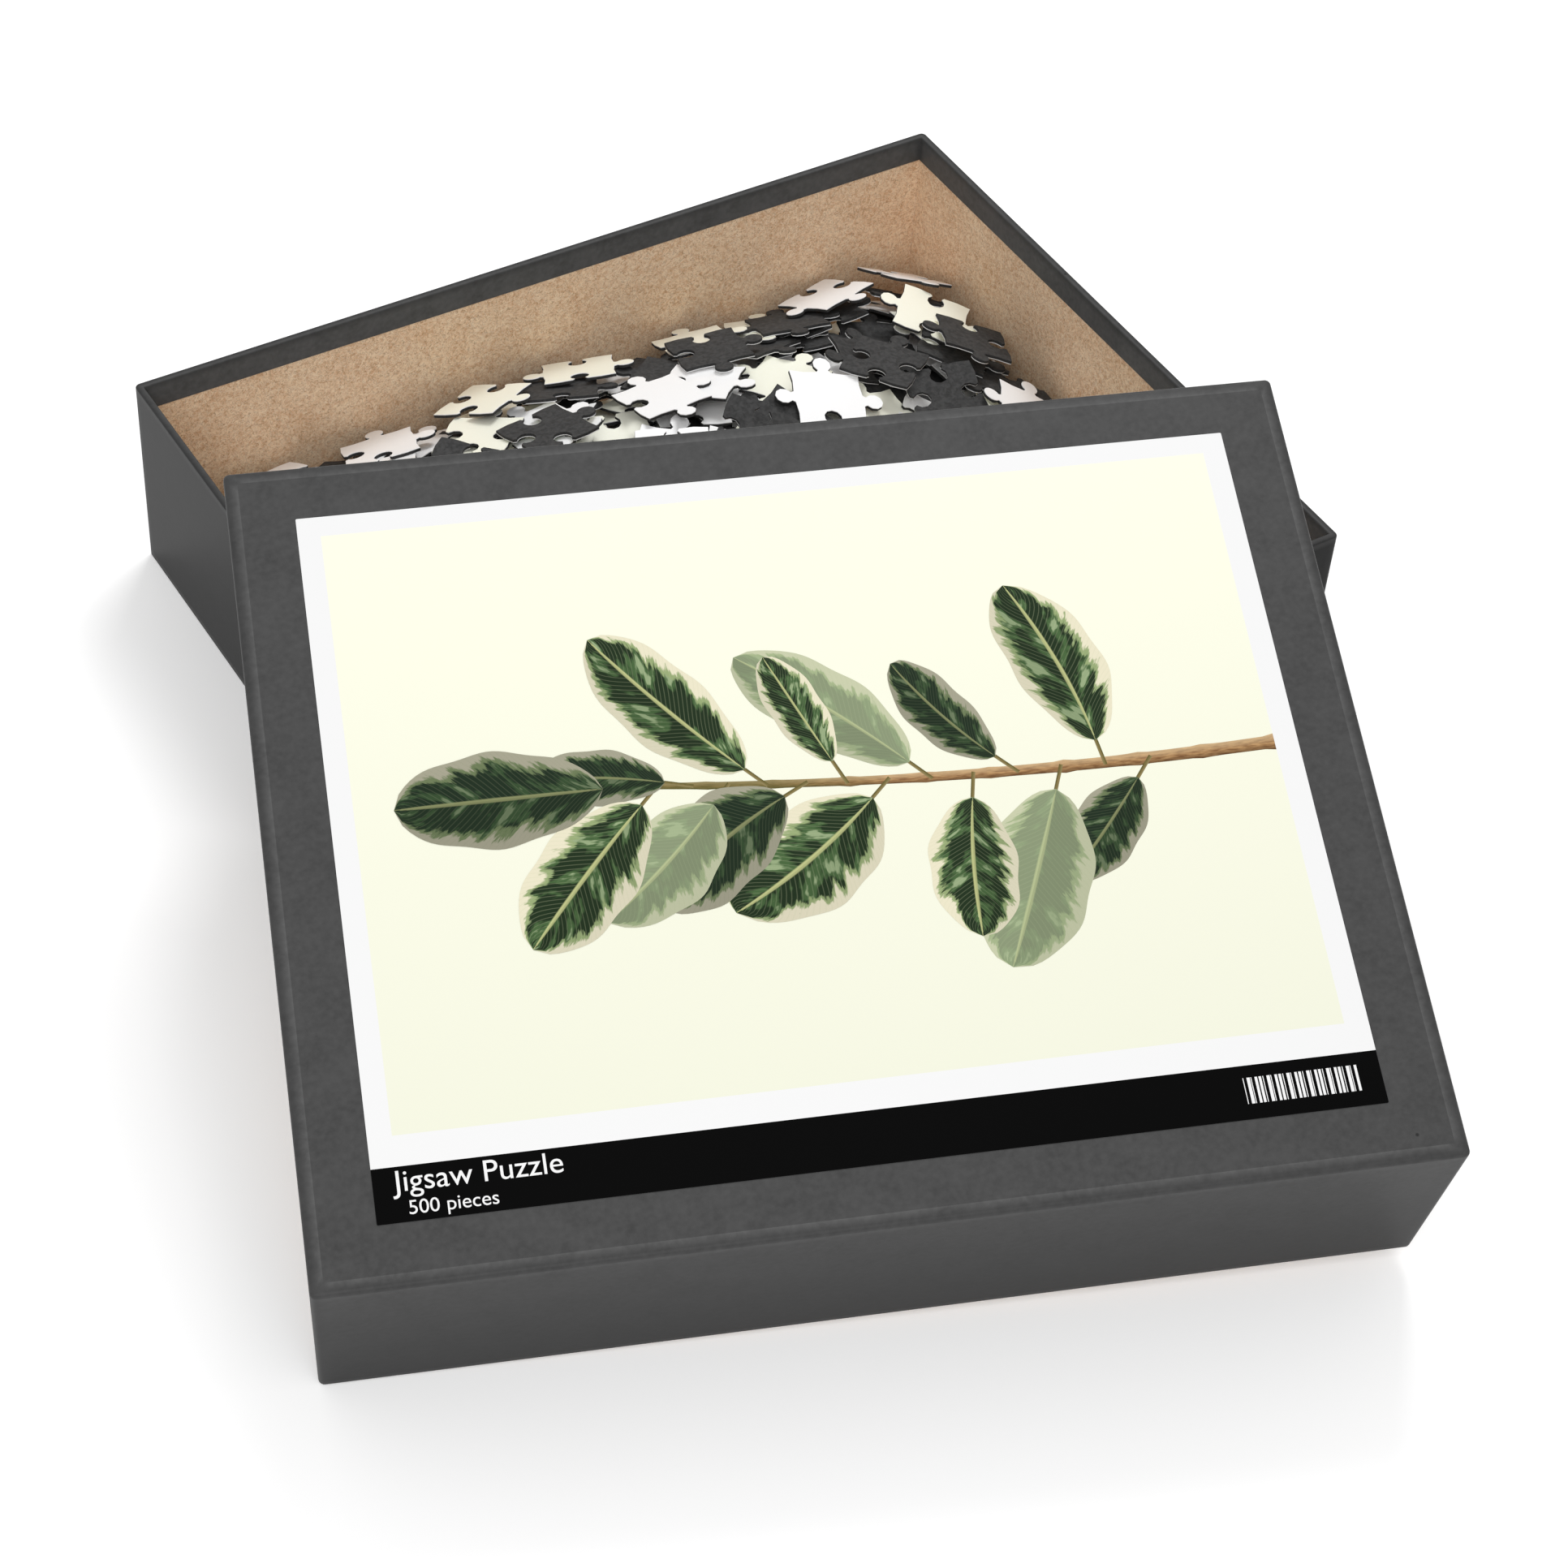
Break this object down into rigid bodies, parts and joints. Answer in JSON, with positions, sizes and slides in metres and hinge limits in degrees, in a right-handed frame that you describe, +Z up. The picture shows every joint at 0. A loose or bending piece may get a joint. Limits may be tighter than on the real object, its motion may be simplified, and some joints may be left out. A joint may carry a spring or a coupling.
{
  "type": "boxed jigsaw puzzle",
  "caption": "Open two-part rigid box holding loose interlocking jigsaw pieces, its deep lid with a printed picture label leaning on the tray rim.",
  "frame": {"origin": "centre of the tray's underside, on the surface that the box stands on", "axes": "+X along the tray's long side, +Y along its short side away from the leaning lid, +Z up"},
  "size_m": [0.34, 0.3805, 0.1223],
  "materials": {
    "wrap_paper": "matte",
    "chipboard": "matte",
    "paper_tape": "matte",
    "printed_label": "satin",
    "puzzle_piece": "satin",
    "piece_pile": "matte"
  },
  "bodies": {
    "tray": {"loose_pieces_below": "piece_pile", "tray_back_board": "chipboard", "tray_base_board": "chipboard", "tray_base_paper": "wrap_paper", "tray_front_board": "chipboard", "tray_left_board": "chipboard", "tray_right_board": "chipboard", "tray_stay_back_left": "paper_tape", "tray_stay_back_right": "paper_tape", "tray_stay_front_left": "paper_tape", "tray_stay_front_right": "paper_tape", "tray_wrap": "wrap_paper"},
    "lid": {"lid_back_board": "chipboard", "lid_front_board": "chipboard", "lid_label": "printed_label", "lid_left_board": "chipboard", "lid_right_board": "chipboard", "lid_stay_back_left": "paper_tape", "lid_stay_back_right": "paper_tape", "lid_stay_front_left": "paper_tape", "lid_stay_front_right": "paper_tape", "lid_top_board": "chipboard", "lid_wrap": "wrap_paper"},
    "piece_01": {"jigsaw_piece_01": "puzzle_piece"},
    "piece_02": {"jigsaw_piece_02": "puzzle_piece"},
    "piece_03": {"jigsaw_piece_03": "puzzle_piece"},
    "piece_04": {"jigsaw_piece_04": "puzzle_piece"},
    "piece_05": {"jigsaw_piece_05": "puzzle_piece"},
    "piece_06": {"jigsaw_piece_06": "puzzle_piece"},
    "piece_07": {"jigsaw_piece_07": "puzzle_piece"},
    "piece_08": {"jigsaw_piece_08": "puzzle_piece"},
    "piece_09": {"jigsaw_piece_09": "puzzle_piece"},
    "piece_10": {"jigsaw_piece_10": "puzzle_piece"},
    "piece_11": {"jigsaw_piece_11": "puzzle_piece"},
    "piece_12": {"jigsaw_piece_12": "puzzle_piece"},
    "piece_13": {"jigsaw_piece_13": "puzzle_piece"},
    "piece_14": {"jigsaw_piece_14": "puzzle_piece"},
    "piece_15": {"jigsaw_piece_15": "puzzle_piece"},
    "piece_16": {"jigsaw_piece_16": "puzzle_piece"},
    "piece_17": {"jigsaw_piece_17": "puzzle_piece"},
    "piece_18": {"jigsaw_piece_18": "puzzle_piece"},
    "piece_19": {"jigsaw_piece_19": "puzzle_piece"},
    "piece_20": {"jigsaw_piece_20": "puzzle_piece"},
    "piece_21": {"jigsaw_piece_21": "puzzle_piece"},
    "piece_22": {"jigsaw_piece_22": "puzzle_piece"},
    "piece_23": {"jigsaw_piece_23": "puzzle_piece"},
    "piece_24": {"jigsaw_piece_24": "puzzle_piece"},
    "piece_25": {"jigsaw_piece_25": "puzzle_piece"},
    "piece_26": {"jigsaw_piece_26": "puzzle_piece"}
  },
  "joints": [
    {"name": "lid_lift", "type": "slide", "parent": "tray", "child": "lid", "axis": [0, 0, 1], "range_m": [0, 0.1]},
    {"name": "piece_01_lift", "type": "slide", "parent": "tray", "child": "piece_01", "axis": [0, 0, 1], "range_m": [0, 0.1]},
    {"name": "piece_02_lift", "type": "slide", "parent": "tray", "child": "piece_02", "axis": [0, 0, 1], "range_m": [0, 0.1]},
    {"name": "piece_03_lift", "type": "slide", "parent": "tray", "child": "piece_03", "axis": [0, 0, 1], "range_m": [0, 0.1]},
    {"name": "piece_04_lift", "type": "slide", "parent": "tray", "child": "piece_04", "axis": [0, 0, 1], "range_m": [0, 0.1]},
    {"name": "piece_05_lift", "type": "slide", "parent": "tray", "child": "piece_05", "axis": [0, 0, 1], "range_m": [0, 0.1]},
    {"name": "piece_06_lift", "type": "slide", "parent": "tray", "child": "piece_06", "axis": [0, 0, 1], "range_m": [0, 0.1]},
    {"name": "piece_07_lift", "type": "slide", "parent": "tray", "child": "piece_07", "axis": [0, 0, 1], "range_m": [0, 0.1]},
    {"name": "piece_08_lift", "type": "slide", "parent": "tray", "child": "piece_08", "axis": [0, 0, 1], "range_m": [0, 0.1]},
    {"name": "piece_09_lift", "type": "slide", "parent": "tray", "child": "piece_09", "axis": [0, 0, 1], "range_m": [0, 0.1]},
    {"name": "piece_10_lift", "type": "slide", "parent": "tray", "child": "piece_10", "axis": [0, 0, 1], "range_m": [0, 0.1]},
    {"name": "piece_11_lift", "type": "slide", "parent": "tray", "child": "piece_11", "axis": [0, 0, 1], "range_m": [0, 0.1]},
    {"name": "piece_12_lift", "type": "slide", "parent": "tray", "child": "piece_12", "axis": [0, 0, 1], "range_m": [0, 0.1]},
    {"name": "piece_13_lift", "type": "slide", "parent": "tray", "child": "piece_13", "axis": [0, 0, 1], "range_m": [0, 0.1]},
    {"name": "piece_14_lift", "type": "slide", "parent": "tray", "child": "piece_14", "axis": [0, 0, 1], "range_m": [0, 0.1]},
    {"name": "piece_15_lift", "type": "slide", "parent": "tray", "child": "piece_15", "axis": [0, 0, 1], "range_m": [0, 0.1]},
    {"name": "piece_16_lift", "type": "slide", "parent": "tray", "child": "piece_16", "axis": [0, 0, 1], "range_m": [0, 0.1]},
    {"name": "piece_17_lift", "type": "slide", "parent": "tray", "child": "piece_17", "axis": [0, 0, 1], "range_m": [0, 0.1]},
    {"name": "piece_18_lift", "type": "slide", "parent": "tray", "child": "piece_18", "axis": [0, 0, 1], "range_m": [0, 0.1]},
    {"name": "piece_19_lift", "type": "slide", "parent": "tray", "child": "piece_19", "axis": [0, 0, 1], "range_m": [0, 0.1]},
    {"name": "piece_20_lift", "type": "slide", "parent": "tray", "child": "piece_20", "axis": [0, 0, 1], "range_m": [0, 0.1]},
    {"name": "piece_21_lift", "type": "slide", "parent": "tray", "child": "piece_21", "axis": [0, 0, 1], "range_m": [0, 0.1]},
    {"name": "piece_22_lift", "type": "slide", "parent": "tray", "child": "piece_22", "axis": [0, 0, 1], "range_m": [0, 0.1]},
    {"name": "piece_23_lift", "type": "slide", "parent": "tray", "child": "piece_23", "axis": [0, 0, 1], "range_m": [0, 0.1]},
    {"name": "piece_24_lift", "type": "slide", "parent": "tray", "child": "piece_24", "axis": [0, 0, 1], "range_m": [0, 0.1]},
    {"name": "piece_25_lift", "type": "slide", "parent": "tray", "child": "piece_25", "axis": [0, 0, 1], "range_m": [0, 0.1]},
    {"name": "piece_26_lift", "type": "slide", "parent": "tray", "child": "piece_26", "axis": [0, 0, 1], "range_m": [0, 0.1]}
  ]
}
